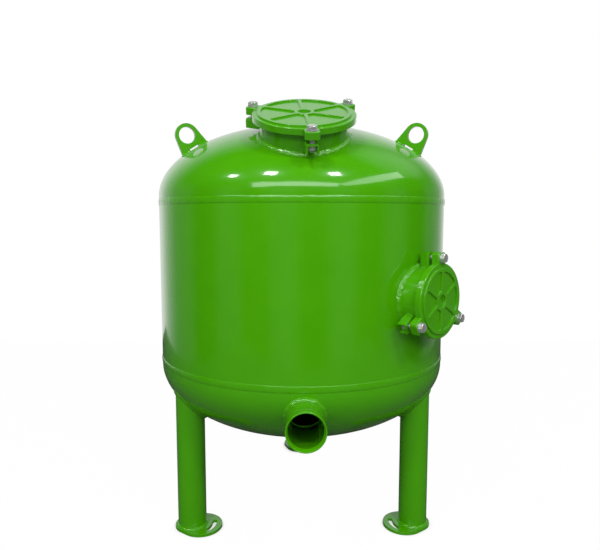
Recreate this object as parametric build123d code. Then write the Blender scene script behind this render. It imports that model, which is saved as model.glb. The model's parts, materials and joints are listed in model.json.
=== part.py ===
from build123d import *
import os
from math import acos, atan2, cos, degrees, hypot, radians, sin, sqrt, tan

# Sand filter: a standing steel tank that cleans water by pressing it down through sand.
# Sizes are in millimetres and angles in degrees. +Z is up and -Y is the front. The origin lies
# on the floor, on the tank's axis. An azimuth is counted from the front towards +X.

# Tank: a rolled shell between two dished heads
tank_od = 640.0
tank_wall = 4.0
lower_seam_z = 357.5
shell_length = 344.0
head_flange = 12.0
head_rise = 160.0
dish_cap_radius = 20.0

# Butt welds of the tank
seam_width = 13.0
seam_crown = 1.8
seam_root_face = 1.0
seam_bevel = 35.0
long_seam_azimuth = 180.0

# Legs, and the foot plate under each
leg_od = 60.3
leg_wall = 3.6
leg_inset = 42.2
leg_weld = 6.0
foot_thickness = 6.0
foot_rim = 6.0
foot_nose_radius = 44.0
foot_nose_offset = 21.5
foot_slot_offset = 17.9
foot_slot_width = 10.0
foot_slot_sweep = 40.0
foot_weld = 4.5

# Each leg's azimuth, and the way its foot plate's nose points, from +X towards +Y
legs = {
    "front_left": (-60.0, -15.0),
    "front_right": (60.0, 195.0),
    "rear": (180.0, 90.0),
}

# Inlet and outlet stubs, grooved for a clamp coupling
pipe_od = 73.0
pipe_wall = 5.2
pipe_end_to_groove = 15.9
pipe_groove_width = 8.0
pipe_groove_depth = 1.95
pipe_weld = 7.0
outlet_drop = 55.4
outlet_reach = 64.0
inlet_reach = 55.0

# Fill port on the front slope of the upper head, square to the head's surface
fill_inset = 97.6
fill_neck_od = 168.3
fill_neck_wall = 4.5
fill_neck_height = 23.0
fill_lid_overhang = 13.35
fill_bolt_offset = 22.85
fill_bolt_angle = 276.0

# Hand hole on the right front of the shell
hatch_azimuth = 45.0
hatch_rise = 153.0
hatch_neck_od = 127.0
hatch_neck_wall = 4.0
hatch_neck_height = 32.0
hatch_lid_overhang = 9.0
hatch_bolt_offset = 18.5
hatch_bolt_angle = 90.0

# Lids, their sealing rings and the welds of their necks
lid_thickness = 12.0
lid_rim_round = 2.0
lid_dimple = 16.0
lid_dimple_depth = 2.0
ear_count = 3
ear_width = 27.0
ear_thickness = 14.0
ear_beyond_bolt = 11.0
ear_corner = 6.0
ear_hole = 11.0
rib_count = 6
rib_height = 3.0
rib_width = 7.0
rib_margin = 9.0
rib_hub_gap = 4.0
rib_corner = 4.0
rib_edge_round = 1.0
gasket_height = 6.0
gasket_stand = 3.0
gasket_overlap = 2.0
groove_clearance = 0.3
neck_weld = 6.0

# U brackets on the necks, each with a nut that can't turn in it
bracket_plate = 3.0
bracket_drop = 8.0
bracket_height = 18.0
bracket_bend = 4.0
nut_side_gap = 0.2

# Lid bolts with their nuts and washers
bolt_size = 10.0
bolt_length = 40.0
bolt_head_height = 6.4
bolt_point = 1.0
hex_across_flats = 16.0
hex_chamfer = 30.0
nut_height = 8.4
washer_od = 20.0
washer_hole = 10.5
washer_thickness = 2.0
thread_clearance = 0.1

# Lifting lugs on the upper head, square to its surface
lifting_azimuths = {"left": -65.5, "right": 62.5, "rear": 180.0}
lifting_inset = 70.0
lifting_height = 30.0
lifting_hole = 34.0
lifting_eye_od = 49.0
lifting_base = 60.0
lifting_thickness = 8.0
lifting_slit = 22.0
lifting_slit_height = 2.5
lifting_weld = 4.0

# Floor plate over the lower head, and its stiffening bars
floor_thickness = 8.0
floor_rise = 20.0
floor_weld = 9.0
bar_height = 50.0
bar_thickness = 8.0

# Strainers in the floor plate, in a hexagonal pattern
strainer_pitch = 120.0
strainer_rings = 2
strainer_edge_gap = 8.0
strainer_stem = 24.0
strainer_cap_od = 54.0
strainer_cap_rim = 8.0
strainer_cap_height = 40.0
strainer_top_od = 34.0
strainer_bore = 16.0
strainer_nut_flats = 36.0
strainer_nut_height = 10.0
strainer_tail = 6.0

# Filter media, and the plate that spreads the water over them
gravel_depth = 80.0
sand_depth = 190.0
deflector_od = 200.0
deflector_thickness = 5.0
deflector_drop = 75.0
rod_size = 10.0
rod_circle = 160.0
rod_count = 3

# Places that follow from the sizes above
tank_radius = tank_od / 2
bore_radius = tank_radius - tank_wall
upper_seam_z = lower_seam_z + shell_length
lower_dish_z = lower_seam_z - head_flange
upper_dish_z = upper_seam_z + head_flange
crown_z = upper_dish_z + head_rise
outlet_z = lower_seam_z - outlet_drop
bevel_depth = tank_wall - seam_root_face
bevel_run = bevel_depth * tan(radians(seam_bevel))
floor_top_z = lower_seam_z + floor_rise
floor_bottom_z = floor_top_z - floor_thickness
gravel_top_z = floor_top_z + gravel_depth
fill_radius = tank_radius - fill_inset
lifting_radius = tank_radius - lifting_inset
deflector_z = crown_z - tank_wall - deflector_drop


def outward(azimuth):
    """Unit vector away from the tank's axis."""
    return Vector(sin(radians(azimuth)), -cos(radians(azimuth)), 0)


def at_azimuth(azimuth, shape):
    """A shape that was drawn on +X, turned to its place round the tank."""
    return Rot(0, 0, azimuth - 90) * shape


def revolved(*outline):
    """Solid of revolution about Z from a closed outline of lines and arcs in X and Z."""
    return revolve(make_face(Plane.XZ * Curve(list(outline))), Axis.Z)


def ring(outer_radius, inner_radius, height):
    """Flat ring standing on z = 0."""
    return extrude(Circle(outer_radius) - Circle(inner_radius), height)


def dish_tilt(x, height, radius, rise):
    """Tilt from the vertical of an ellipse's normal at one of its points."""
    return degrees(atan2(x / radius**2, height / rise**2))


def dish_line(base_z, radius, rise):
    """Half outline of a dish, from its rim up to the axis: an ellipse, and a ball in its middle."""
    ellipse = EllipticalCenterArc((0, base_z), radius, rise, arc_size=degrees(acos(dish_cap_radius / radius)))
    joint = ellipse @ 1
    tilt = dish_tilt(joint.X, joint.Y - base_z, radius, rise)
    ball_radius = joint.X / sin(radians(tilt))
    ball_z = joint.Y - ball_radius * cos(radians(tilt))
    return Curve([ellipse, CenterArc((0, ball_z), ball_radius, 90 - tilt, tilt)])


def axis_line(*dishes):
    """Line down the axis between the middles of two half outlines."""
    middles = [dish.vertices().sort_by(Axis.X)[0] for dish in dishes]
    return Line(*[(0, middle.Y) for middle in middles])


def tank_volume(radius, rise):
    """Everything inside a closed tank of the given radius and dish."""
    upper = dish_line(upper_dish_z, radius, rise)
    lower = mirror(dish_line(-lower_dish_z, radius, rise), Plane.XZ)
    return revolved(
        *upper.edges(),
        Line((radius, lower_dish_z), (radius, upper_dish_z)),
        *lower.edges(),
        axis_line(upper, lower),
    )


outer_tank = tank_volume(tank_radius, head_rise)
inner_tank = tank_volume(bore_radius, head_rise - tank_wall)


def head_point(radius):
    """Height of the upper head's outside at a radius, and its normal's tilt from the vertical."""
    rise = head_rise * sqrt(1 - (radius / tank_radius) ** 2)
    return upper_dish_z + rise, dish_tilt(radius, rise, tank_radius, head_rise)


def corner_weld(stub, size):
    """Bead all round the line where a stub leaves the tank's outside."""
    joined = outer_tank + stub
    line = new_edges(outer_tank, stub, combined=joined)
    return chamfer(line, size) - joined


def ring_weld(radius, size):
    """Bead round the foot of an upright tube, on a plate at z = 0."""
    bulge = 0.6 * size
    return revolved(
        Line((radius, 0), (radius + size, 0)),
        ThreePointArc((radius + size, 0), (radius + bulge, bulge), (radius, size)),
        Line((radius, size), (radius, 0)),
    )


# Tank shell and heads


def dished_head():
    """One head, standing on its bevelled open end at z = 0."""
    outside = dish_line(head_flange, tank_radius, head_rise)
    inside = dish_line(head_flange, bore_radius, head_rise - tank_wall)
    return revolved(
        Polyline(
            (bore_radius, head_flange),
            (bore_radius, 0),
            (bore_radius + seam_root_face, 0),
            (tank_radius, bevel_run),
            (tank_radius, head_flange),
        ),
        *outside.edges(),
        axis_line(outside, inside),
        *inside.edges(),
    )


def round_seam_weld(seam_z):
    """Butt weld that fills the bevels of shell and head, with a low crown outside."""
    half = seam_width / 2
    return Pos(0, 0, seam_z) * revolved(
        ThreePointArc((tank_radius, -half), (tank_radius + seam_crown, 0), (tank_radius, half)),
        Polyline(
            (tank_radius, half),
            (tank_radius, bevel_run),
            (tank_radius - bevel_depth, 0),
            (tank_radius, -bevel_run),
            (tank_radius, -half),
        ),
    )


def long_seam(outline):
    """A section drawn at the tank's side, run up the shell between the two round seams."""
    bar = Pos(0, 0, lower_seam_z + seam_width / 2) * extrude(outline, shell_length - seam_width)
    return at_azimuth(long_seam_azimuth, bar)


def long_seam_groove():
    """Bevelled gap where the rolled plate closes, down the back of the shell."""
    root = tank_radius - bevel_depth
    open_to = 2 * bevel_depth
    spread = open_to * bevel_run / bevel_depth
    return long_seam(
        make_face(Polyline((root, 0), (root + open_to, spread), (root + open_to, -spread), (root, 0)))
    )


def long_seam_weld(rolled_shell):
    """Butt weld in that gap, with a low crown outside."""
    half = seam_width / 2
    edge = tank_radius - seam_root_face
    crown = ThreePointArc((edge, -half), (tank_radius + seam_crown, 0), (edge, half))
    lens = make_face(Curve([crown, Line((edge, half), (edge, -half))]))
    filled = long_seam(lens) + (long_seam_groove() & outer_tank)
    return filled - rolled_shell


def shell(hatch):
    """Rolled shell with bevelled edges, open at the hand hole."""
    tube = revolved(
        Polyline(
            (bore_radius, 0),
            (bore_radius + seam_root_face, 0),
            (tank_radius, bevel_run),
            (tank_radius, shell_length - bevel_run),
            (bore_radius + seam_root_face, shell_length),
            (bore_radius, shell_length),
            (bore_radius, 0),
        )
    )
    return Pos(0, 0, lower_seam_z) * tube - hatch.hole() - long_seam_groove()


# Legs and feet


def leg_place(azimuth):
    """Where a leg's axis stands on the floor."""
    return Pos(outward(azimuth) * (tank_radius - leg_inset))


def leg(azimuth):
    """Tube from the foot plate up to the lower head, cut to the head's curve."""
    tube = ring(leg_od / 2, leg_od / 2 - leg_wall, lower_dish_z - foot_thickness)
    return leg_place(azimuth) * Pos(0, 0, foot_thickness) * tube - outer_tank


def leg_head_weld(azimuth):
    """Bead between a leg and the lower head."""
    height = lower_dish_z - foot_thickness
    post = Pos(0, 0, foot_thickness) * extrude(Circle(leg_od / 2), height)
    return corner_weld(leg_place(azimuth) * post, leg_weld)


def foot(azimuth, heading):
    """Egg-shaped plate with one curved anchor slot about the leg's axis."""
    heel = Circle(leg_od / 2 + foot_rim)
    nose = Pos(foot_nose_offset, 0) * Circle(foot_nose_radius)
    outline = make_hull(heel.edges() + nose.edges())
    slot_radius = leg_od / 2 + foot_slot_offset
    slot_line = CenterArc((0, 0), slot_radius, -foot_slot_sweep / 2, foot_slot_sweep)
    slot = SlotArc(slot_line, foot_slot_width)
    return leg_place(azimuth) * Rot(0, 0, heading) * extrude(outline - slot, foot_thickness)


def leg_foot_weld(azimuth):
    """Bead between a leg and its foot plate."""
    return leg_place(azimuth) * Pos(0, 0, foot_thickness) * ring_weld(leg_od / 2, foot_weld)


# Inlet and outlet


def grooved_pipe(length):
    """Stub with its mouth at z = 0, running down from it."""
    radius = pipe_od / 2
    groove_top = -pipe_end_to_groove
    groove_floor = radius - pipe_groove_depth
    return revolved(
        Polyline(
            (radius - pipe_wall, 0),
            (radius, 0),
            (radius, groove_top),
            (groove_floor, groove_top),
            (groove_floor, groove_top - pipe_groove_width),
            (radius, groove_top - pipe_groove_width),
            (radius, -length),
            (radius - pipe_wall, -length),
            (radius - pipe_wall, 0),
        )
    )


outlet_mouth = Plane((0, -tank_radius - outlet_reach, outlet_z), x_dir=(1, 0, 0), z_dir=(0, -1, 0))
inlet_mouth = Plane((0, 0, crown_z + inlet_reach))


def pipe_piece(mouth, length):
    """A stub in its place, cut flush with the tank's inside."""
    return mouth.location * grooved_pipe(length) - inner_tank


def pipe_core(mouth, length):
    """The stub's full outside, for its hole and its weld."""
    return mouth.location * Pos(0, 0, -length) * extrude(Circle(pipe_od / 2), length)


outlet_length = outlet_reach + tank_radius / 2
inlet_length = inlet_reach + tank_wall + pipe_od / 2


# Ports with bolted lids


class Port:
    """A round neck with a bolted lid, drawn with the neck's rim in the plane z = 0."""

    def __init__(self, rim, neck_od, neck_wall, neck_height, lid_overhang, bolt_offset, bolt_angle):
        self.place = rim.location
        self.neck_radius = neck_od / 2
        self.neck_bore = neck_od / 2 - neck_wall
        self.depth = neck_height + neck_od / 2
        self.lid_radius = neck_od / 2 + lid_overhang
        self.bolt_radius = neck_od / 2 + bolt_offset
        self.bolt_angles = [bolt_angle + 360 / ear_count * turn for turn in range(ear_count)]
        self.ear_reach = self.bolt_radius + ear_beyond_bolt
        self.lid_top = gasket_stand + lid_thickness

    def each_bolt(self, shape):
        """A shape that was drawn on the port's x axis, copied to every bolt."""
        return [Rot(0, 0, angle) * shape for angle in self.bolt_angles]

    def hole(self):
        return self.place * Pos(0, 0, -self.depth) * extrude(Circle(self.neck_radius), self.depth)

    def neck(self):
        """Tube cut flush with the tank's inside."""
        tube = Pos(0, 0, -self.depth) * ring(self.neck_radius, self.neck_bore, self.depth)
        return self.place * tube - inner_tank

    def weld(self):
        return corner_weld(self.hole(), neck_weld)

    def ear_outline(self):
        """Square-ended ear with round corners, from the lid's middle outwards."""
        ear = Pos(self.ear_reach / 2, 0) * Rectangle(self.ear_reach, ear_width)
        tips = ear.vertices().filter_by(lambda tip: tip.X > self.ear_reach / 2)
        return fillet(tips, ear_corner)

    def rib_gap(self, rim, hub):
        """Round-cornered gap between two spokes, the first of them on the x axis."""
        half = 180 / rib_count
        spread = rim * tan(radians(half))
        wedge = make_face(Polyline((0, 0), (rim, spread), (rim, -spread), (0, 0)))
        wedge = Pos(rib_width / 2 / sin(radians(half)), 0) * wedge
        gap = Rot(0, 0, half) * wedge & Circle(rim - rib_width) - Circle(hub + rib_width)
        return fillet(gap.vertices(), rib_corner)

    def ribs(self):
        """Cast stiffening: a ring near the lid's rim, one round its dimple, and spokes between."""
        rim = self.lid_radius - rib_margin
        hub = lid_dimple / 2 + rib_hub_gap
        gap = self.rib_gap(rim, hub)
        outline = Circle(rim) - Circle(hub)
        outline -= [Rot(0, 0, 360 / rib_count * turn) * gap for turn in range(rib_count)]
        ribs = extrude(Rot(0, 0, self.bolt_angles[0]) * outline, rib_height)
        return fillet(ribs.edges().group_by(Axis.Z)[-1], rib_edge_round)

    def cover(self):
        """Round lid with ears, a groove below for the sealing ring, and ribs above."""
        disc = Circle(self.lid_radius)
        ears = self.each_bolt(self.ear_outline())
        lid = Pos(0, 0, gasket_stand) * extrude(disc + ears, lid_thickness)
        lid += Pos(0, 0, self.lid_top - ear_thickness) * extrude(Sketch() + ears - disc, ear_thickness)
        lid = fillet(lid.faces().sort_by(Axis.Z)[-1].outer_wire().edges(), lid_rim_round)
        lid -= Pos(0, 0, self.lid_top - lid_dimple_depth) * extrude(
            Circle(lid_dimple / 2), lid_dimple_depth
        )
        groove = ring(
            self.neck_radius + gasket_overlap + groove_clearance,
            self.neck_bore - gasket_overlap - groove_clearance,
            gasket_height,
        )
        lid -= groove
        bolt_hole = Pos(self.bolt_radius, 0, 0) * extrude(Circle(ear_hole / 2), self.lid_top)
        lid -= self.each_bolt(bolt_hole)
        lid += Pos(0, 0, self.lid_top) * self.ribs()
        return self.place * lid

    def gasket(self):
        """Sealing ring in the lid's groove, pressed on the neck's rim."""
        outer = self.neck_radius + gasket_overlap
        inner = self.neck_bore - gasket_overlap
        return self.place * ring(outer, inner, gasket_height)

    def brackets(self):
        """U brackets welded to the neck, open away from the lid, with a hole in each web."""
        half = hex_across_flats / 2 + nut_side_gap
        section = Rectangle(2 * (half + bracket_plate), bracket_height, align=(Align.CENTER, Align.MAX))
        corners = section.vertices().group_by(Axis.Y)[-1]
        section = fillet(corners, bracket_bend)
        section -= Pos(0, -bracket_plate) * Rectangle(
            2 * half, bracket_height, align=(Align.CENTER, Align.MAX)
        )
        web_top = self.lid_top - ear_thickness - bracket_drop
        along = Plane((0, 0, web_top), x_dir=(0, 1, 0), z_dir=(1, 0, 0))
        bracket = extrude(along * section, self.ear_reach)
        bracket -= Pos(0, 0, -self.depth) * extrude(Circle(self.neck_radius), 2 * self.depth)
        bracket -= Pos(self.bolt_radius, 0, web_top - bracket_plate) * extrude(
            Circle(ear_hole / 2), bracket_plate
        )
        return self.place * Compound(self.each_bolt(bracket))

    def nuts(self):
        """Hex nuts that lie against the webs, with two flats along the bracket's sides."""
        top = self.lid_top - ear_thickness - bracket_drop - bracket_plate
        nut = hex_block(nut_height)
        nut -= extrude(Circle(bolt_size / 2 + thread_clearance), nut_height)
        return self.place * Compound(self.each_bolt(Pos(self.bolt_radius, 0, top - nut_height) * nut))

    def washers(self):
        washer = ring(washer_od / 2, washer_hole / 2, washer_thickness)
        seat = Pos(self.bolt_radius, 0, self.lid_top)
        return self.place * Compound(self.each_bolt(seat * washer))

    def bolts(self):
        """One hex bolt for each ear."""
        seat = Pos(self.bolt_radius, 0, self.lid_top + washer_thickness)
        return [self.place * bolt for bolt in self.each_bolt(seat * hex_bolt())]


def hex_block(height):
    """Hexagon with the corners of its upper end turned down, standing on z = 0."""
    corner = hex_across_flats / 2 / cos(radians(30))
    drop = (corner - hex_across_flats / 2) * tan(radians(hex_chamfer))
    prism = extrude(RegularPolygon(corner, 6), height)
    turned = revolved(
        Polyline(
            (0, 0),
            (corner, 0),
            (corner, height - drop),
            (hex_across_flats / 2, height),
            (0, height),
            (0, 0),
        )
    )
    return prism & turned


def hex_bolt():
    """Bolt whose head stands on z = 0, with its shank below."""
    shank = Pos(0, 0, -bolt_length) * extrude(Circle(bolt_size / 2), bolt_length)
    shank = chamfer(shank.edges().sort_by(Axis.Z)[0], bolt_point)
    return hex_block(bolt_head_height) + shank


def fill_rim():
    """Plane of the fill neck's rim, square to the head's surface."""
    surface_z, tilt = head_point(fill_radius)
    normal = Vector(0, -sin(radians(tilt)), cos(radians(tilt)))
    middle = Vector(0, -fill_radius, surface_z) + normal * fill_neck_height
    return Plane(middle, x_dir=(1, 0, 0), z_dir=normal)


def hatch_rim():
    """Plane of the hand hole's rim, with its y axis up."""
    way_out = outward(hatch_azimuth)
    middle = way_out * (tank_radius + hatch_neck_height) + Vector(0, 0, lower_seam_z + hatch_rise)
    return Plane(middle, x_dir=Vector(0, 0, 1).cross(way_out), z_dir=way_out)


fill_port = Port(
    fill_rim(),
    fill_neck_od,
    fill_neck_wall,
    fill_neck_height,
    fill_lid_overhang,
    fill_bolt_offset,
    fill_bolt_angle,
)
hatch_port = Port(
    hatch_rim(),
    hatch_neck_od,
    hatch_neck_wall,
    hatch_neck_height,
    hatch_lid_overhang,
    hatch_bolt_offset,
    hatch_bolt_angle,
)


# Lifting lugs


def lifting_frame():
    """Plane of a lug's side, with its origin on the head and its y axis square to the head."""
    surface_z, tilt = head_point(lifting_radius)
    along = (cos(radians(tilt)), 0, -sin(radians(tilt)))
    return Plane((lifting_radius, 0, surface_z), x_dir=along, z_dir=(0, -1, 0))


def lifting_slit_cut():
    """Narrow gap under the middle of a lug, between its two welded ends."""
    slit = Rectangle(lifting_slit, 2 * lifting_slit_height)
    return extrude(lifting_frame() * slit, lifting_thickness + lifting_weld, both=True)


def lifting_lug():
    """Plate with a round eye, cut to the head's curve at its base."""
    eye_centre = Pos(0, lifting_height)
    base = Rectangle(lifting_base, lifting_height / 2, align=(Align.CENTER, Align.MAX))
    base = Pos(0, lifting_slit_height) * base
    outline = make_hull((eye_centre * Circle(lifting_eye_od / 2)).edges() + base.edges())
    outline -= eye_centre * Circle(lifting_hole / 2)
    plate = extrude(lifting_frame() * outline, lifting_thickness / 2, both=True)
    return plate - outer_tank - lifting_slit_cut()


def lifting_lug_weld():
    """Bead round each end of a lug's base."""
    sunk = lifting_weld
    spread = 2 * (lifting_weld + sunk)
    frame = lifting_frame()
    footprint = Rectangle(lifting_base + spread, lifting_thickness + spread)
    base_plane = Plane(frame.origin - frame.y_dir * sunk, x_dir=frame.x_dir, z_dir=frame.y_dir)
    bead = extrude(base_plane * footprint, lifting_weld + sunk, taper=45)
    return bead - outer_tank - lifting_lug() - lifting_slit_cut()


# Floor plate, strainers and media


def strainer_places():
    """Hexagonal pattern about the tank's axis, as far out as the caps clear the floor plate's weld."""
    reach = bore_radius - floor_weld - strainer_edge_gap - strainer_cap_od / 2
    places = []
    for row in range(-strainer_rings, strainer_rings + 1):
        count = 2 * strainer_rings + 1 - abs(row)
        y = row * strainer_pitch * sin(radians(60))
        places += [((column - (count - 1) / 2) * strainer_pitch, y) for column in range(count)]
    return [(x, y) for x, y in places if hypot(x, y) <= reach]


def at_strainers(shape, z):
    return [Pos(x, y, z) * shape for x, y in strainer_places()]


def floor_plate():
    """Plate right across the tank, drilled for the strainers."""
    plate = Pos(0, 0, floor_bottom_z) * extrude(Circle(bore_radius), floor_thickness)
    hole = extrude(Circle(strainer_stem / 2), floor_thickness)
    return plate - at_strainers(hole, floor_bottom_z)


def floor_ring_weld():
    """Bead inside the shell, on top of the floor plate."""
    bulge = 0.6 * floor_weld
    return Pos(0, 0, floor_top_z) * revolved(
        Line((bore_radius, 0), (bore_radius, floor_weld)),
        ThreePointArc(
            (bore_radius, floor_weld),
            (bore_radius - bulge, bulge),
            (bore_radius - floor_weld, 0),
        ),
        Line((bore_radius - floor_weld, 0), (bore_radius, 0)),
    )


def floor_bars():
    """Two bars under the floor plate, each between two rows of strainers."""
    offset = strainer_pitch * sin(radians(60)) / 2
    bar = Box(tank_od, bar_thickness, bar_height, align=(Align.CENTER, Align.CENTER, Align.MAX))
    bars = [Pos(0, side * offset, floor_bottom_z) * bar & inner_tank for side in (-1, 1)]
    return Compound(bars)


def strainer():
    """Screened cap on a hollow stem, with the cap's foot on z = 0."""
    return revolved(
        Polyline(
            (strainer_bore / 2, -strainer_tail - strainer_nut_height - floor_thickness),
            (strainer_stem / 2, -strainer_tail - strainer_nut_height - floor_thickness),
            (strainer_stem / 2, 0),
            (strainer_cap_od / 2, 0),
            (strainer_cap_od / 2, strainer_cap_rim),
            (strainer_top_od / 2, strainer_cap_height),
            (0, strainer_cap_height),
            (0, strainer_cap_height / 2),
            (strainer_bore / 2, strainer_cap_height / 2),
            (strainer_bore / 2, -strainer_tail - strainer_nut_height - floor_thickness),
        )
    )


def strainer_nut():
    """Flat hex nut that holds a strainer from below."""
    outline = RegularPolygon(strainer_nut_flats / 2, 6, major_radius=False) - Circle(strainer_stem / 2)
    return extrude(outline, strainer_nut_height)


def gravel_layer():
    """Gravel from the floor plate up, round the strainers."""
    layer = Pos(0, 0, floor_top_z) * extrude(Circle(bore_radius), gravel_depth)
    cap = Pos(0, 0, floor_top_z) * revolved(
        Polyline(
            (0, 0),
            (strainer_cap_od / 2, 0),
            (strainer_cap_od / 2, strainer_cap_rim),
            (strainer_top_od / 2, strainer_cap_height),
            (0, strainer_cap_height),
            (0, 0),
        )
    )
    return layer - at_strainers(cap, 0) - floor_ring_weld()


def sand_bed():
    return Pos(0, 0, gravel_top_z) * extrude(Circle(bore_radius), sand_depth)


# Inlet deflector


def deflector_plate():
    return Pos(0, 0, deflector_z) * extrude(Circle(deflector_od / 2), deflector_thickness)


def deflector_rods():
    """Rods that hang the deflector from the upper head."""
    bottom = deflector_z + deflector_thickness
    rod = extrude(Circle(rod_size / 2), crown_z - bottom)
    rods = []
    for turn in range(rod_count):
        spot = outward(360 / rod_count * turn) * (rod_circle / 2) + Vector(0, 0, bottom)
        rods.append(Pos(spot) * rod & inner_tank)
    return Compound(rods)


# All pieces, one file each


def numbered(name, solids):
    return {f"{name}_{number}": solid for number, solid in enumerate(solids, 1)}


def build():
    rolled_shell = shell(hatch_port)
    lower_head = Pos(0, 0, lower_seam_z) * Rot(180, 0, 0) * dished_head()
    upper_head = Pos(0, 0, upper_seam_z) * dished_head()
    leg_azimuths = [azimuth for azimuth, heading in legs.values()]
    pieces = {
        "shell": rolled_shell,
        "lower_head": lower_head - pipe_core(outlet_mouth, outlet_length),
        "upper_head": upper_head - pipe_core(inlet_mouth, inlet_length) - fill_port.hole(),
        "lower_seam_weld": round_seam_weld(lower_seam_z),
        "upper_seam_weld": round_seam_weld(upper_seam_z),
        "long_seam_weld": long_seam_weld(rolled_shell),
        "leg_foot_welds": Compound([leg_foot_weld(azimuth) for azimuth in leg_azimuths]),
        "outlet_pipe": pipe_piece(outlet_mouth, outlet_length),
        "outlet_weld": corner_weld(pipe_core(outlet_mouth, outlet_length), pipe_weld),
        "inlet_pipe": pipe_piece(inlet_mouth, inlet_length),
        "inlet_weld": corner_weld(pipe_core(inlet_mouth, inlet_length), pipe_weld),
        "floor_plate": floor_plate(),
        "floor_plate_weld": floor_ring_weld(),
        "floor_plate_bars": floor_bars(),
        "strainers": Compound(at_strainers(strainer(), floor_top_z)),
        "strainer_nuts": Compound(at_strainers(strainer_nut(), floor_bottom_z - strainer_nut_height)),
        "gravel_layer": gravel_layer(),
        "sand_bed": sand_bed(),
        "deflector_plate": deflector_plate(),
        "deflector_rods": deflector_rods(),
    }
    for name, (azimuth, heading) in legs.items():
        pieces[f"{name}_leg"] = leg(azimuth)
        pieces[f"{name}_leg_head_weld"] = leg_head_weld(azimuth)
        pieces[f"{name}_foot"] = foot(azimuth, heading)
    for name, azimuth in lifting_azimuths.items():
        pieces[f"{name}_lifting_lug"] = at_azimuth(azimuth, lifting_lug())
        pieces[f"{name}_lifting_lug_weld"] = at_azimuth(azimuth, lifting_lug_weld())
    for name, port in {"fill": fill_port, "hatch": hatch_port}.items():
        pieces[f"{name}_neck"] = port.neck()
        pieces[f"{name}_neck_weld"] = port.weld()
        pieces[f"{name}_nut_brackets"] = port.brackets()
        pieces[f"{name}_nuts"] = port.nuts()
        pieces[f"{name}_cover"] = port.cover()
        pieces[f"{name}_gasket"] = port.gasket()
        pieces[f"{name}_washers"] = port.washers()
        pieces |= numbered(f"{name}_bolt", port.bolts())
    return pieces


os.makedirs("parts", exist_ok=True)
for piece_name, piece in build().items():
    export_step(piece, f"parts/{piece_name}.step")
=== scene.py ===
"""Studio scene of a welded steel sand filter in green enamel, on three tube legs.

The measured parts come from the frame. This script gives them their finishes, lays the weld beads,
cuts the bolts' threads and turns the grooved pipe stubs. Lengths are in metres.
"""

import json
from math import cos, pi, radians, sin, sqrt, tan

import bpy
import numpy as np
from mathutils import Euler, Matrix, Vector


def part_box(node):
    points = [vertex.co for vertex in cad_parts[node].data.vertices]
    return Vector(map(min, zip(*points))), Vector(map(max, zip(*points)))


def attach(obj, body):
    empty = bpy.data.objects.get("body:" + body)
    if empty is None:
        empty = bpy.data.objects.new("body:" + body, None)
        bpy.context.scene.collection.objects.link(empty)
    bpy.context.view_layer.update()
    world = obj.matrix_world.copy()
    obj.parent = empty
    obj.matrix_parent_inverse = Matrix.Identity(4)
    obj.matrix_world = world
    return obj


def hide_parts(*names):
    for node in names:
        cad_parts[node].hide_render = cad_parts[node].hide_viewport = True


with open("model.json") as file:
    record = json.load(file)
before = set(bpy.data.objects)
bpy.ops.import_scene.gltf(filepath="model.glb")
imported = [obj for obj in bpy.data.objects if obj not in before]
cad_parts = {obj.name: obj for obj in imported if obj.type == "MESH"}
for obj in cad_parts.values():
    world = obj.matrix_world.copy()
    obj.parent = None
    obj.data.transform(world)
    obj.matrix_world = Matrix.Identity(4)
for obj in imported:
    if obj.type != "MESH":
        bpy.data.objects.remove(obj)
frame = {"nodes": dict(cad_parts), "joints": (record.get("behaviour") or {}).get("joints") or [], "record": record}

bl_info = {
    "name": "Sand Filter",
    "version": (1, 0, 0),
    "blender": (4, 5, 0),
    "location": "3D View > Sidebar > Sand Filter",
    "description": "Finishes, weld beads, fasteners and studio for a welded sand filter",
    "category": "Object",
}

MM = 0.001
UP = Vector((0, 0, 1))
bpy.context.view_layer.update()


def linear(hex_colour):
    """Linear RGB of an sRGB hex colour."""
    channels = [int(hex_colour[i : i + 2], 16) / 255 for i in (1, 3, 5)]
    return [c / 12.92 if c <= 0.04045 else ((c + 0.055) / 1.055) ** 2.4 for c in channels]


def points_of(name):
    """All corners of a CAD node."""
    return np.array([vertex.co for vertex in frame["nodes"][name].data.vertices])


def mount(name):
    """Place and axis of one of the record's mounts."""
    found = next(row for row in frame["record"]["mounts"] if row["name"] == name)
    return Vector(found["pos_m"]), Vector(found["axis"])


def length(name, description, default):
    """A length among the settings."""
    return bpy.props.FloatProperty(
        name=name, description=description, default=default, min=0, unit="LENGTH", precision=5
    )


def colour(name, description, hex_colour):
    """A colour among the settings."""
    return bpy.props.FloatVectorProperty(
        name=name, description=description, default=linear(hex_colour), subtype="COLOR", min=0, max=1
    )


SHELL_LOW, SHELL_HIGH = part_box("shell")


class TankSizes(bpy.types.PropertyGroup):
    """Sizes of the tank that its weld beads follow."""

    radius: length("Tank radius", "Outside radius of the shell", round(SHELL_HIGH.x, 3))
    wall: length("Tank wall", "Thickness of shell and heads", 4 * MM)
    flange: length("Head flange", "Straight part of a dished head, from its seam", 12 * MM)
    rise: length("Head rise", "Height of a dished head over its flange", 160 * MM)


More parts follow.
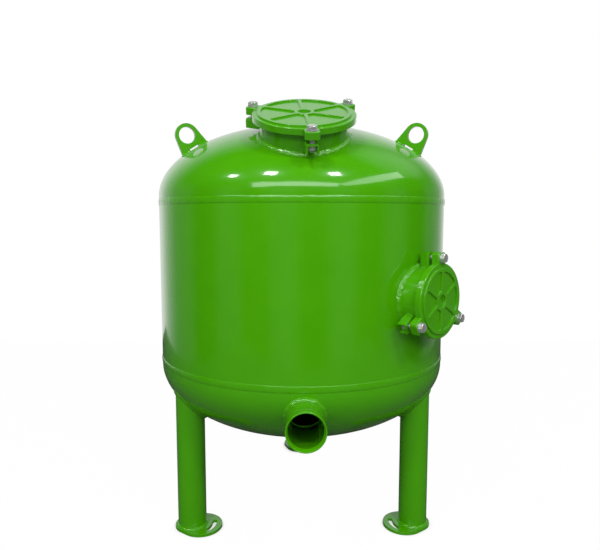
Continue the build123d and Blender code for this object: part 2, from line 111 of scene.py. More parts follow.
class WeldSizes(bpy.types.PropertyGroup):
    """Sizes of the weld beads."""

    seam_width: length("Seam width", "Width of the tank's butt welds", 13 * MM)
    seam_crown: length("Seam crown", "Height of a butt weld over the plate", 1.0 * MM)
    pipe_leg: length("Pipe bead", "Leg of the bead round a pipe stub", 6 * MM)
    neck_leg: length("Neck bead", "Leg of the bead round a port's neck", 6.5 * MM)
    leg_leg: length("Leg bead", "Leg of the bead between a tube leg and the head", 6 * MM)
    foot_leg: length("Foot bead", "Leg of the bead on a foot plate", 4 * MM)
    root_leg: length("Root bead", "Leg of the bead on the inner end of a pipe stub", 3 * MM)
    lug_leg: length("Lug bead", "Leg of the bead round a lifting lug", 2.4 * MM)
    bracket_leg: length("Bracket bead", "Leg of the bead beside a nut bracket", 2.6 * MM)
    ripple: length("Ripple pitch", "Distance from one ripple of a bead to the next", 3.4 * MM)
    ripple_height: length("Ripple height", "Depth of the notches between ripples", 0.6 * MM)
    step: length("Sample step", "Distance between two sections of a bead", 0.6 * MM)


class BoltSizes(bpy.types.PropertyGroup):
    """Sizes of an M10 hex bolt."""

    diameter: length("Thread diameter", "Outside diameter of the thread", 10 * MM)
    pitch: length("Thread pitch", "Travel of one turn", 1.5 * MM)
    flats: length("Across flats", "Width of the hexagon", 16 * MM)
    head: length("Head height", "Height of the hexagon", 6.4 * MM)
    shank: length("Shank length", "Length under the head", 40 * MM)


class PipeSizes(bpy.types.PropertyGroup):
    """Sizes of the grooved stubs."""

    wall: length("Pipe wall", "Thickness of the stubs", 5.2 * MM)
    land: length("Land", "Plain length between the mouth and the groove", 15.9 * MM)
    groove: length("Groove width", "Width of the coupling's groove", 8 * MM)
    depth: length("Groove depth", "Depth of the coupling's groove", 1.95 * MM)
    bevel: length("Mouth bevel", "Length of the bevel inside the mouth", 8.3 * MM)
    rim: length("Rim", "Width of the flat rim round the mouth", 1.9 * MM)
    round: length("Edge round", "Radius of the turned edges under the enamel", 0.7 * MM)


class Finishes(bpy.types.PropertyGroup):
    """Colours of the finishes."""

    enamel: colour("Enamel", "Green stove enamel", "#3F9700")
    enamel_thin: colour("Thin enamel", "The same enamel where it runs thin", "#489E03")
    zinc: colour("Zinc", "Bright zinc plate", "#E3E5E3")
    rubber: colour("Rubber", "Moulded sealing rubber", "#1B1C1C")
    sand: colour("Sand", "Graded quartz sand", "#C2AE87")
    gravel: colour("Gravel", "Washed gravel", "#8F877C")
    plastic: colour("Strainer plastic", "Moulded polypropylene", "#26272A")
    floor: colour("Floor", "Pale studio floor", "#F4F4F4")


class Studio(bpy.types.PropertyGroup):
    """Light and camera of the studio."""

    light: bpy.props.FloatProperty(name="Light", description="Factor on the power of all lamps", default=1.0)
    ambient: bpy.props.FloatProperty(name="Ambient", description="Light from all round", default=0.385)
    lens: bpy.props.FloatProperty(name="Lens", description="Focal length in millimetres", default=33.9)


# Materials


def add_node(tree, kind, inputs=None, **settings):
    """Adds a node with its settings. An input, by name or number, is a value, a socket or a node."""
    made = tree.nodes.new("ShaderNode" + kind)
    for name, value in settings.items():
        setattr(made, name, value)
    for socket, source in (inputs or {}).items():
        if isinstance(source, bpy.types.Node):
            source = source.outputs[0]
        if isinstance(source, bpy.types.NodeSocket):
            tree.links.new(source, made.inputs[socket])
        else:
            made.inputs[socket].default_value = source
    return made


def per_mm(size):
    """Texture scale for a pattern of that size in millimetres, in object coordinates."""
    return 1 / (size * MM)


def new_material(name):
    """An empty material, with the object coordinates in its tree."""
    material = bpy.data.materials.new(name)
    material.use_nodes = True
    tree = material.node_tree
    tree.nodes.clear()
    return material, tree, add_node(tree, "TexCoord").outputs["Object"]


def finish_material(material, inputs):
    """Adds the surface shader to a material, and returns the material."""
    surface = add_node(material.node_tree, "BsdfPrincipled", inputs)
    add_node(material.node_tree, "OutputMaterial", {"Surface": surface})
    return material


def opaque(tone, factor=1.0):
    """RGBA of a tone, made lighter or darker by the factor."""
    return [*[min(1, factor * c) for c in tone], 1]


def enamel(name, relief_mm, relief_depth_mm, gloss, wave_mm, edge_mm=0):
    """Stove enamel, sprayed over steel and baked.

    It is an even, opaque coat with a wet gloss: sharp highlights in a soft halo, a faint orange peel
    and the slow waves of the plate under it. Relief is what the coat shows of a rougher ground, and
    the coat runs round over an edge, as wide as edge_mm.
    """
    finishes = bpy.context.scene.filter_finishes
    material, tree, place = new_material(name)
    cloud = add_node(tree, "TexNoise", {"Vector": place, "Scale": per_mm(55), "Detail": 3.0})
    tint = add_node(
        tree,
        "Mix",
        {0: cloud, 6: opaque(finishes.enamel), 7: opaque(finishes.enamel_thin)},
        data_type="RGBA",
    )
    smears = add_node(tree, "TexNoise", {"Vector": place, "Scale": per_mm(18), "Detail": 4.0})
    roughness = add_node(
        tree, "MapRange", {"Value": smears, "To Min": gloss - 0.03, "To Max": gloss + 0.05}
    )
    normal = add_node(tree, "Bevel", {"Radius": edge_mm * MM}, samples=4) if edge_mm else None
    plate_waves, orange_peel = (120, wave_mm, 1.0), (2.6, 0.006, 1.0)
    for size, depth, detail in (plate_waves, orange_peel, (relief_mm, relief_depth_mm, 3.0)):
        height = add_node(tree, "TexNoise", {"Vector": place, "Scale": per_mm(size), "Detail": detail})
        normal = add_node(
            tree,
            "Bump",
            {"Height": height, "Distance": depth * MM, **({"Normal": normal} if normal else {})},
        )
    pigment = {
        "Base Color": tint.outputs[2],
        "Roughness": 0.25,
        "IOR": 1.5,
        "Specular IOR Level": 0.12,
        "Normal": normal,
    }
    gloss_coat = {"Coat Weight": 0.9, "Coat Roughness": roughness, "Coat IOR": 1.5, "Coat Normal": normal}
    return finish_material(material, {**pigment, **gloss_coat})


def zinc_plate():
    """Bright zinc, plated in a barrel: a pale bluish metal with soft, slightly cloudy reflections."""
    finishes = bpy.context.scene.filter_finishes
    material, tree, place = new_material("bright_zinc_plate")
    cloud = add_node(tree, "TexNoise", {"Vector": place, "Scale": per_mm(3), "Detail": 3.0})
    tint = add_node(
        tree, "Mix", {0: cloud, 6: opaque(finishes.zinc), 7: opaque(finishes.zinc, 0.82)}, data_type="RGBA"
    )
    roughness = add_node(tree, "MapRange", {"Value": cloud, "To Min": 0.16, "To Max": 0.3})
    grain = add_node(tree, "TexNoise", {"Vector": place, "Scale": per_mm(0.7), "Detail": 2.0})
    normal = add_node(tree, "Bump", {"Height": grain, "Distance": 0.01 * MM})
    return finish_material(
        material, {"Base Color": tint.outputs[2], "Metallic": 0.75, "Roughness": roughness, "Normal": normal}
    )


def moulded_rubber():
    """EPDM rubber, moulded: nearly black and matte, with a fine grain."""
    finishes = bpy.context.scene.filter_finishes
    material, tree, place = new_material("moulded_rubber")
    grain = add_node(tree, "TexNoise", {"Vector": place, "Scale": per_mm(0.6), "Detail": 3.0})
    tint = add_node(
        tree, "Mix", {0: grain, 6: opaque(finishes.rubber), 7: opaque(finishes.rubber, 1.5)}, data_type="RGBA"
    )
    normal = add_node(tree, "Bump", {"Height": grain, "Distance": 0.03 * MM})
    return finish_material(
        material, {"Base Color": tint.outputs[2], "Roughness": 0.62, "IOR": 1.52, "Normal": normal}
    )


def loose_grains(name, tone, grain_mm, roughness):
    """Washed mineral grains: each grain has its own tone, and dark gaps lie between them."""
    material, tree, place = new_material(name)
    cells = add_node(tree, "TexVoronoi", {"Vector": place, "Scale": per_mm(grain_mm)})
    own_tone = add_node(tree, "SeparateColor", {"Color": cells.outputs["Color"]})
    tint = add_node(tree, "Mix", {0: own_tone, 6: opaque(tone, 0.6), 7: opaque(tone, 1.3)}, data_type="RGBA")
    normal = add_node(
        tree, "Bump", {"Height": cells.outputs["Distance"], "Distance": grain_mm * MM / 3}, invert=True
    )
    return finish_material(
        material, {"Base Color": tint.outputs[2], "Roughness": roughness, "Normal": normal}
    )


def moulded_plastic():
    """Polypropylene, injection moulded: dark grey with an even satin grain."""
    finishes = bpy.context.scene.filter_finishes
    material, tree, place = new_material("moulded_polypropylene")
    grain = add_node(tree, "TexNoise", {"Vector": place, "Scale": per_mm(0.5), "Detail": 2.0})
    normal = add_node(tree, "Bump", {"Height": grain, "Distance": 0.02 * MM})
    return finish_material(
        material, {"Base Color": opaque(finishes.plastic), "Roughness": 0.45, "IOR": 1.49, "Normal": normal}
    )


MATERIALS = {}


def make_materials():
    """Makes all finishes."""
    finishes = bpy.context.scene.filter_finishes
    MATERIALS["green_enamel"] = enamel(
        "stove_enamel_on_tank", relief_mm=9, relief_depth_mm=0.02, gloss=0.08, wave_mm=0.3
    )
    MATERIALS["plate_enamel"] = enamel(
        "stove_enamel_on_cut_plate", relief_mm=4, relief_depth_mm=0.02, gloss=0.1, wave_mm=0.05, edge_mm=1.0
    )
    MATERIALS["weld_enamel"] = enamel(
        "stove_enamel_on_weld", relief_mm=0.9, relief_depth_mm=0.08, gloss=0.08, wave_mm=0.05
    )
    MATERIALS["cast_enamel"] = enamel(
        "stove_enamel_on_casting", relief_mm=1.8, relief_depth_mm=0.04, gloss=0.12, wave_mm=0.05, edge_mm=0.6
    )
    MATERIALS["zinc_plated_steel"] = zinc_plate()
    MATERIALS["black_rubber"] = moulded_rubber()
    MATERIALS["quartz_sand"] = loose_grains("quartz_sand", finishes.sand, 1.2, 0.7)
    MATERIALS["washed_gravel"] = loose_grains("washed_gravel", finishes.gravel, 8, 0.6)
    MATERIALS["strainer_plastic"] = moulded_plastic()


# Meshes


def new_piece(name, points, faces, material, body, replaced=()):
    """A smooth-shaded mesh piece that rides on a body."""
    mesh = bpy.data.meshes.new(name)
    mesh.from_pydata([tuple(point) for point in points], [], [tuple(face) for face in faces])
    mesh.validate()
    mesh.materials.append(MATERIALS[material])
    piece = bpy.data.objects.new(name, mesh)
    bpy.context.scene.collection.objects.link(piece)
    for polygon in mesh.polygons:
        polygon.use_smooth = True
    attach(piece, body)
    if replaced:
        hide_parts(*replaced)
    return piece


def sharpen(piece, angle=35):
    """Keeps edges sharper than the angle crisp in the shading."""
    piece.data.set_sharp_from_angle(angle=radians(angle))


def unit(rows):
    """Rows of vectors, each made one long."""
    rows = np.atleast_2d(np.asarray(rows, float))
    return rows / np.linalg.norm(rows, axis=1, keepdims=True)


def wobble(rng, places, total, longest, shortest, closed):
    """Smooth random line with a spread of about one, along a bead of that total length."""
    value = np.zeros(len(places))
    low, high = total / longest, total / shortest
    for _ in range(14):
        turns = rng.uniform(low, high)
        turns = max(1, round(turns)) if closed else turns
        value += rng.normal() * np.sin(2 * pi * (turns * places / total + rng.random()))
    return value / sqrt(7)


def past_flanges(points):
    """How far points lie above the upper head's flange, or below the lower one's as a negative number."""
    tank = bpy.context.scene.filter_tank
    low, high = SHELL_LOW.z - tank.flange, SHELL_HIGH.z + tank.flange
    return np.maximum(points[:, 2] - high, 0) + np.minimum(points[:, 2] - low, 0)


def tank_level(points):
    """Below zero within the tank's outer face, above zero outside it."""
    tank = bpy.context.scene.filter_tank
    points = np.atleast_2d(points)
    reach = np.hypot(points[:, 0], points[:, 1])
    return (reach / tank.radius) ** 2 + (past_flanges(points) / tank.rise) ** 2 - 1


def tank_normal(points):
    """Outward normals of the tank at points on it."""
    tank = bpy.context.scene.filter_tank
    x, y = points[:, 0] / tank.radius**2, points[:, 1] / tank.radius**2
    return unit(np.stack([x, y, past_flanges(points) / tank.rise**2], axis=1))


# How far and how finely a line is searched for the tank, and how often the last step is halved.
LONGEST_SEARCH = 500 * MM
SEARCH_STEP = 2 * MM
HALVINGS = 30


def land_on_tank(starts, way):
    """Where lines from outside points, run along a direction, meet the tank."""
    starts = np.asarray(starts, float)
    way = np.asarray(way, float)
    far = np.full(len(starts), np.nan)
    for reach in np.arange(0, LONGEST_SEARCH, SEARCH_STEP):
        inside = (tank_level(starts + reach * way) < 0) & np.isnan(far)
        far[inside] = reach
    near = far - SEARCH_STEP
    for _ in range(HALVINGS):
        middle = (near + far) / 2
        inside = tank_level(starts + middle[:, None] * way) < 0
        far = np.where(inside, middle, far)
        near = np.where(inside, near, middle)
    return starts + far[:, None] * way


def around_z(angles):
    """Level directions at angles round the upright axis."""
    return np.stack([np.cos(angles), np.sin(angles), np.zeros(len(angles))], axis=1)


def evenly(line, spans, step):
    """Values of a line's parameter that lie evenly along it."""
    fine = np.linspace(*spans, 1500)
    points = line(fine)[0]
    run = np.concatenate([[0], np.cumsum(np.linalg.norm(np.diff(points, axis=0), axis=1))])
    count = max(6, int(run[-1] / step))
    return np.interp(np.linspace(0, run[-1], count), run, fine), run[-1]


def grid_faces(sections, around, closed):
    """Quads between sections of as many points each. The last joins the first where it is closed."""
    i = np.arange(sections if closed else sections - 1)[:, None]
    k = np.arange(around)[None]
    j, m = (i + 1) % sections, (k + 1) % around
    corners = (i * around + k, j * around + k, j * around + m, i * around + m)
    return np.stack(corners, axis=-1).reshape(-1, 4).tolist()


# How unevenly a hand lays a bead: its swing as a share of the size, and its longest and shortest waves.
LEG_SWING, LEG_WAVES = 0.04, (50 * MM, 10 * MM)
CROWN_SWING, CROWN_WAVES = 0.1, (60 * MM, 15 * MM)
RIPPLE_SWING, RIPPLE_WAVES = 0.22, (30 * MM, 10 * MM)
# The lump where a round bead closes, and how far it reaches.
LUMP, LUMP_REACH = 0.5 * MM, 5 * MM


def bead_geometry(line, spans, leg, crown, seed, closed=True, butt=False):
    """Points and faces of one weld bead.

    line(values) gives the corner that the bead fills and the two directions in which its toes lie.
    The bead is laid in overlapping ripples whose crests curve back at the toes.
    """
    welds = bpy.context.scene.filter_welds
    rng = np.random.default_rng(seed)
    values, total = evenly(line, spans, welds.step)
    if closed:
        values = values[:-1]
    corner, to_a, to_b = line(values)
    places = np.linspace(0, total, len(values), endpoint=not closed)
    out = unit(to_a + to_b) if not butt else tank_normal(corner)
    leg_a = leg * (1 + LEG_SWING * wobble(rng, places, total, *LEG_WAVES, closed))
    leg_b = leg * (1 + LEG_SWING * wobble(rng, places, total, *LEG_WAVES, closed))
    height = crown * (1 + CROWN_SWING * wobble(rng, places, total, *CROWN_WAVES, closed))
    if closed and not butt:
        away = np.minimum(places, total - places)
        height = height + LUMP * np.exp(-((away / LUMP_REACH) ** 2))
    else:
        fade = np.clip(np.minimum(places, total - places) / (1.2 * leg), 0.12, 1) ** 0.5
        leg_a, leg_b, height = leg_a * fade, leg_b * fade, height * fade
    count = max(1, round(total / welds.ripple))
    phase = places / total * count + RIPPLE_SWING * wobble(rng, places, total, *RIPPLE_WAVES, closed)
    depth = welds.ripple_height * (0.2 if butt else min(1, leg / (5 * MM)))
    rows = []
    # The shares run from one toe to the other, closer together at the toes.
    for share in (1 - np.cos(pi * np.linspace(0, 1, 11))) / 2:
        bulge = 4 * share * (1 - share)
        # Each ripple starts steeply on the last one and flows off slowly.
        wave = (phase - 0.8 * bulge) % 1
        notch = np.minimum(wave / 0.7, (1 - wave) / 0.3) ** 0.7
        lobe = 0.06 * leg * notch * (1 - bulge)
        rough = 0.04 * MM * rng.normal(size=len(places))
        raised = height * bulge ** (0.45 if butt else 0.75) - (depth * (1 - notch) + rough) * bulge**0.4
        toe = corner + to_a * ((leg_a + lobe) * (1 - share))[:, None]
        toe = toe + to_b * ((leg_b + lobe) * share)[:, None]
        # The toes sink a little into the plates, and the root lies under them.
        rows.append(toe + out * (raised - 0.12 * MM * (1 - bulge))[:, None])
    root = corner - out * (1.0 * MM)
    loops = np.stack([root, *rows], axis=1)
    sections, around = loops.shape[:2]
    faces = grid_faces(sections, around, closed)
    if not closed:
        faces.append(tuple(range(around))[::-1])
        faces.append(tuple((sections - 1) * around + k for k in range(around)))
    return loops.reshape(-1, 3), faces


def facing_out(points, faces):
    """The faces, turned where needed so that they face out of their closed shape."""
    quads = np.array([face for face in faces if len(face) == 4])
    points = np.asarray(points) - np.mean(points, axis=0)
    a, b, c, d = (points[quads[:, corner]] for corner in range(4))
    volume = (np.cross(b - a, c - a) * a).sum() + (np.cross(c - a, d - a) * a).sum()
    return faces if volume > 0 else [face[::-1] for face in faces]


def weld_piece(name, beads, replaced=()):
    """One piece of one or more beads on the tank."""
    points, faces = [], []
    for bead_points, bead_faces in beads:
        bead_faces = facing_out(bead_points, bead_faces)
        offset = len(points)
        points.extend(bead_points)
        faces.extend(tuple(corner + offset for corner in face) for face in bead_faces)
    return new_piece(name, points, faces, "weld_enamel", "tank", replaced)


def stub_line(middle, axis, radius):
    """Corner line of a round stub on the tank, as a function of the angle round it."""
    axis = Vector(axis).normalized()
    side = axis.orthogonal().normalized()
    other = axis.cross(side)
    middle, side, other, axis = (np.array(v) for v in (middle, side, other, axis))

    def line(angles):
        outward = np.cos(angles)[:, None] * side + np.sin(angles)[:, None] * other
        corner = land_on_tank(middle + radius * outward, -axis)
        normals = tank_normal(corner)
        along_tank = outward - (outward * normals).sum(1)[:, None] * normals
        return corner, np.broadcast_to(axis, corner.shape), unit(along_tank)

    return line


def stub_weld(middle, axis, radius, leg, seed):
    """Bead all round a stub, pipe or leg where it meets the tank."""
    return bead_geometry(stub_line(middle, axis, radius), (0, 2 * pi), leg, 0.22 * leg, seed)


# Places that the frame gives


def leg_place(name):
    """A tube leg's axis and radius."""
    low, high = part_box(f"{name}_leg")
    return Vector(((low.x + high.x) / 2, (low.y + high.y) / 2, low.z)), (high.x - low.x) / 2


class Port:
    """Places of a port with a bolted lid, from its bolts' joints and its neck."""

    def __init__(self, name):
        self.name = name
        joints = [row for row in frame["joints"] if row["name"].startswith(f"{name}_bolt")]
        self.axis = Vector(joints[0]["axis"]).normalized()
        self.bolts = {row["child"]: Vector(row["pos_m"]) for row in joints}
        self.top = sum(self.bolts.values(), Vector()) / len(self.bolts)
        from_top = points_of(f"{name}_neck") - np.array(self.top)
        along = from_top @ np.array(self.axis)
        self.radius = float(np.linalg.norm(from_top - np.outer(along, self.axis), axis=1).max())


LEGS = ("front_left", "front_right", "rear")
LUGS = ("left", "right", "rear")
PORTS = {name: Port(name) for name in ("fill", "hatch")}


# Operators, one for each group of like pieces


CUT_PLATE_ENDINGS = ("_foot", "_lug", "_brackets", "_neck", "_leg")


class FILTER_OT_finishes(bpy.types.Operator):
    """Gives every carried-over part its finish"""

    bl_idname = "filter.finishes"
    bl_label = "Finishes"

    def execute(self, context):
        make_materials()
        slots = {row["node"]: row["material_slot"] for row in frame["record"]["subparts"]}
        for name, piece in frame["nodes"].items():
            finish = "cast_enamel" if name.endswith("_cover") else slots[name]
            if name.endswith(CUT_PLATE_ENDINGS):
                finish = "plate_enamel"
            piece.data.materials.clear()
            piece.data.materials.append(MATERIALS[finish])
        return {"FINISHED"}


class FILTER_OT_seams(bpy.types.Operator):
    """Lays the butt welds of the tank"""

    bl_idname = "filter.seams"
    bl_label = "Seam welds"

    def execute(self, context):
        tank, welds = context.scene.filter_tank, context.scene.filter_welds
        half = welds.seam_width / 2

        def round_line(z):
            def line(angles):
                outward = around_z(angles)
                corner = outward * tank.radius + np.array([0, 0, z])
                upward = np.broadcast_to([0.0, 0.0, 1.0], corner.shape)
                return corner, upward, -upward

            return line

        seams = {"lower": (SHELL_LOW.z, 11), "upper": (SHELL_HIGH.z, 12)}
        for name, (z, seed) in seams.items():
            bead = bead_geometry(round_line(z), (0, 2 * pi), half, welds.seam_crown, seed, butt=True)
            weld_piece(f"{name}_seam_bead", [bead], [f"{name}_seam_weld"])

        low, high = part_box("long_seam_weld")

        def long_line(heights):
            corner = np.stack([np.zeros(len(heights)), np.full(len(heights), tank.radius), heights], axis=1)
            sideways = np.broadcast_to([1.0, 0.0, 0.0], corner.shape)
            return corner, sideways, -sideways

        into_seams = 2 * MM
        spans = (low.z - into_seams, high.z + into_seams)
        bead = bead_geometry(long_line, spans, half, welds.seam_crown, 13, closed=False, butt=True)
        weld_piece("long_seam_bead", [bead], ["long_seam_weld"])
        return {"FINISHED"}


class FILTER_OT_stub_welds(bpy.types.Operator):
    """Lays the beads round necks, pipes and legs"""

    bl_idname = "filter.stub_welds"
    bl_label = "Stub welds"

    def execute(self, context):
        welds = context.scene.filter_welds
        for seed, port in enumerate(PORTS.values(), 21):
            bead = stub_weld(port.top, port.axis, port.radius, welds.neck_leg, seed)
            weld_piece(f"{port.name}_neck_bead", [bead], [f"{port.name}_neck_weld"])
        for seed, name in enumerate(("outlet", "inlet"), 31):
            middle, axis = mount(f"{name}_end")
            low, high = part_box(f"{name}_pipe")
            bead = stub_weld(middle, axis, (high.x - low.x) / 2, welds.pipe_leg, seed)
            weld_piece(f"{name}_bead", [bead], [f"{name}_weld"])
        for seed, name in enumerate(LEGS, 41):
            middle, radius = leg_place(name)
            head_bead = stub_weld(middle, -UP, radius, welds.leg_leg, seed)
            weld_piece(f"{name}_leg_head_bead", [head_bead], [f"{name}_leg_head_weld"])
        return {"FINISHED"}


class FILTER_OT_foot_welds(bpy.types.Operator):
    """Lays the beads between the legs and their foot plates"""

    bl_idname = "filter.foot_welds"
    bl_label = "Foot welds"

    def execute(self, context):
        welds = context.scene.filter_welds
        beads = []
        for seed, name in enumerate(LEGS, 51):
            middle, radius = leg_place(name)

            def line(angles):
                outward = around_z(angles)
                corner = np.array(middle) + radius * outward
                return corner, np.broadcast_to([0.0, 0.0, 1.0], corner.shape), outward

            beads.append(bead_geometry(line, (0, 2 * pi), welds.foot_leg, 0.2 * welds.foot_leg, seed))
        weld_piece("leg_foot_beads", beads, ["leg_foot_welds"])
        return {"FINISHED"}


def lathe(profile, middle, axis, count):
    """Points and faces of a closed profile, given as (along, radius), turned about an axis."""
    axis = Vector(axis).normalized()
    side = axis.orthogonal().normalized()
    middle, side, other, axis = (np.array(v) for v in (middle, side, axis.cross(side), axis))
    points = []
    for step in range(count):
        angle = 2 * pi * step / count
        outward = cos(angle) * side + sin(angle) * other
        points.extend(middle + along * axis + radius * outward for along, radius in profile)
    return points, grid_faces(count, len(profile), True)


def rounded(corners, radius, count=4):
    """A closed outline with each corner rounded by up to that radius."""
    made = []
    for index, corner in enumerate(corners):
        before, after = corners[index - 1], corners[(index + 1) % len(corners)]
        corner, before, after = (np.array(c, float) for c in (corner, before, after))
        a, b = before - corner, after - corner
        cut = min(radius, np.linalg.norm(a) / 2.2, np.linalg.norm(b) / 2.2)
        start = corner + a / np.linalg.norm(a) * cut
        end = corner + b / np.linalg.norm(b) * cut
        for share in np.linspace(0, 1, count):
            made.append((1 - share) ** 2 * start + 2 * share * (1 - share) * corner + share**2 * end)
    return made


class FILTER_OT_pipes(bpy.types.Operator):
    """Turns the grooved stubs, cut to the head's curve, and lays the root bead on their inner ends"""

    bl_idname = "filter.pipes"
    bl_label = "Grooved pipes"

    def execute(self, context):
        sizes, welds = context.scene.filter_pipes, context.scene.filter_welds
        wall = context.scene.filter_tank.wall
        for seed, name in enumerate(("outlet", "inlet"), 91):
            middle, axis = mount(f"{name}_end")
            mouth = np.array(middle + axis * (sizes.land / 2))
            way = np.array(axis)
            low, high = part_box(f"{name}_pipe")
            radius = (high.x - low.x) / 2
            bore, bottom = radius - sizes.wall, radius - sizes.depth
            corners = [
                (-3 * sizes.land, bore),
                (-sizes.bevel, bore),
                (0, radius - sizes.rim),
                (0, radius),
                (-sizes.land, radius),
                (-sizes.land, bottom),
                (-sizes.land - sizes.groove, bottom),
                (-sizes.land - sizes.groove, radius),
                (-3 * sizes.land, radius),
            ]
            profile = rounded(corners[1:-1], sizes.round)
            profile = [corners[0], *profile, corners[-1]]
            points, faces = lathe(profile, mouth, way, 128)
            points = np.array(points)
            # Each section's first and last corners move nearly to the head's inner face.
            for index, held in ((0, bore), (len(profile) - 1, radius)):
                landed = land_on_tank(points[index :: len(profile)], -way)
                end = landed - 0.9 * wall * tank_normal(landed) - mouth
                along = np.outer(end @ way, way)
                points[index :: len(profile)] = mouth + held * unit(end - along) + along
            faces = facing_out(points, faces)
            replaced = [f"{name}_pipe"]
            stub = new_piece(f"{name}_stub", points, faces, "green_enamel", "tank", replaced)
            sharpen(stub, 60)

            line = stub_line(mouth, axis, bore)

            def root(angles, line=line, way=way, mouth=mouth):
                corner, _, _ = line(angles)
                corner = corner - wall * tank_normal(corner)
                inward = mouth - corner
                inward = unit(inward - np.outer(inward @ way, way))
                return corner - 0.6 * MM * inward, inward, np.broadcast_to(-way, corner.shape)

            bead = bead_geometry(root, (0, 2 * pi), welds.root_leg, 0.3 * welds.root_leg, seed)
            weld_piece(f"{name}_root_bead", [bead])
        return {"FINISHED"}


def hexagon_reach(angle, flats):
    """Distance from a hexagon's middle to its side at an angle."""
    return flats / 2 / cos((angle + pi / 6) % (pi / 3) - pi / 6)


def bolt_geometry(sizes):
    """Points and faces of a hex bolt about +Z, its head on z = 0 and its thread below."""
    tip = 1e-5
    around = 48
    angles = [2 * pi * k / around for k in range(around)]
    # The head's corners are turned down at 30 degrees round a face of 0.95 of the flats.
    top_radius = 0.475 * sizes.flats
    rings = []

    def hexagon(height, inset):
        return [(hexagon_reach(a, sizes.flats) - inset, height) for a in angles]

    turned_down = [
        (reach, sizes.head - (reach - top_radius) * tan(radians(30)))
        for reach in (hexagon_reach(a, sizes.flats) for a in angles)
    ]
    edge = 0.25 * MM
    rings.append([(tip, sizes.head) for _ in angles])
    rings.append([(top_radius - 1.2 * edge, sizes.head) for _ in angles])
    rings.append([(top_radius, sizes.head - 0.25 * edge) for _ in angles])
    rings.append([(reach - edge, height + 0.35 * edge) for reach, height in turned_down])
    rings.append([(reach, height - edge) for reach, height in turned_down])
    rings.append(hexagon(edge, 0))
    rings.append(hexagon(0, edge))
    neck = sizes.diameter / 2
    # A metric thread is 0.61 of its pitch deep.
    depth = 0.61 * sizes.pitch
    rings.append([(neck, 0) for _ in angles])
    start, end = 1.2 * MM, sizes.shank - 1 * MM
    per_turn = 8
    steps = int((end - start) / sizes.pitch * per_turn)
    for step in range(steps + 1):
        down = start + (end - start) * step / steps
        fade = min(1, (down - start) / sizes.pitch)
        ring = []
        for a in angles:
            turn = (down / sizes.pitch + a / (2 * pi)) % 1
            # A V that is flat at its crest and its root.
            groove = min(1, max(0, 1.3 * (1 - abs(2 * turn - 1)) - 0.15))
            ring.append((neck - depth * groove * fade, -down))
        rings.append(ring)
    rings.append([(neck - depth, -sizes.shank) for _ in angles])
    rings.append([(tip, -sizes.shank) for _ in angles])
    points = [
        np.array([radius * cos(a), radius * sin(a), height])
        for ring in rings
        for a, (radius, height) in zip(angles, ring)
    ]
    faces = grid_faces(len(rings), around, False)
    faces.append(tuple(range(around)))
    faces.append(tuple(reversed(range((len(rings) - 1) * around, len(rings) * around))))
    return points, faces


class FILTER_OT_bolts(bpy.types.Operator):
    """Makes the hex bolts with their real thread"""

    bl_idname = "filter.bolts"
    bl_label = "Lid bolts"

    def execute(self, context):
        sizes = context.scene.filter_bolts
        shape, faces = bolt_geometry(sizes)
        faces = facing_out(shape, faces)
        zinc = "zinc_plated_steel"
        # The head stays this far off its washer, so that it doesn't cut into it when it turns.
        play = 0.05 * MM
        for port in PORTS.values():
            axis, top = np.array(port.axis), np.array(port.top)
            for name in port.bolts:
                along = points_of(name) @ axis
                seat = along.max() - sizes.head + play
                place = np.array(port.bolts[name])
                place = place + (seat - place @ axis) * axis
                outward = unit(place - top - ((place - top) @ axis) * axis)[0]
                sideways = np.cross(axis, outward)
                points = [place + p[0] * outward + p[1] * sideways + p[2] * axis for p in shape]
                piece = new_piece(f"{name}_threaded", points, faces, zinc, name, [name])
                sharpen(piece, 28)
        return {"FINISHED"}


def head_foot(point):
    """The point of the upper head right under a point, along the head's normal."""
    spot = land_on_tank([np.array(point)], [0.0, 0.0, -1.0])
    for _ in range(12):
        normal = tank_normal(spot)
        away = np.array(point) - spot
        spot = spot + 0.8 * (away - (away * normal).sum(1)[:, None] * normal)
        spot = land_on_tank(spot + 20 * MM * normal, -normal[0])
    return spot[0], tank_normal(spot)[0]


class FILTER_OT_lug_welds(bpy.types.Operator):
    """Lays the beads at both ends of each lifting lug's base"""

    bl_idname = "filter.lug_welds"
    bl_label = "Lug welds"

    def execute(self, context):
        welds = context.scene.filter_welds
        for number, name in enumerate(LUGS):
            eye, across = mount(f"{name}_lifting_eye")
            base, upward = head_foot(eye)
            across = np.array(across)
            along = np.cross(across, upward)
            from_base = points_of(f"{name}_lifting_lug") - base
            low_part = from_base[from_base @ upward < 6 * MM]
            half_length = np.abs(low_part @ along).max()
            half_thick = np.abs(low_part @ across).max()
            slit = 11 * MM
            beads = []
            for side in (-1, 1):
                run = half_length - slit
                turn = 2 * half_thick

                # One face, the end and the other face, with the bead turning over twice the bend.
                def line(values, side=side, run=run, turn=turn):
                    x = slit + np.clip(values, 0, run) - np.clip(values - run - turn, 0, run)
                    y = half_thick - np.clip(values - run, 0, turn)
                    starts = base + 30 * MM * upward + np.outer(side * x, along) + np.outer(y, across)
                    corner = land_on_tank(starts, -upward)
                    bend = 1.5 * MM
                    first = np.clip((values - run + bend) / (2 * bend), 0, 1)
                    second = np.clip((values - run - turn + bend) / (2 * bend), 0, 1)
                    outward = np.outer(side * (first - second), along) + np.outer(1 - first - second, across)
                    return corner, np.broadcast_to(upward, corner.shape), unit(outward)

                spans = (0, 2 * run + turn)
                seed = 61 + 2 * number + side
                bead = bead_geometry(line, spans, welds.lug_leg, 0.2 * welds.lug_leg, seed, closed=False)
                beads.append(bead)
            weld_piece(f"{name}_lifting_lug_bead", beads, [f"{name}_lifting_lug_weld"])
        return {"FINISHED"}


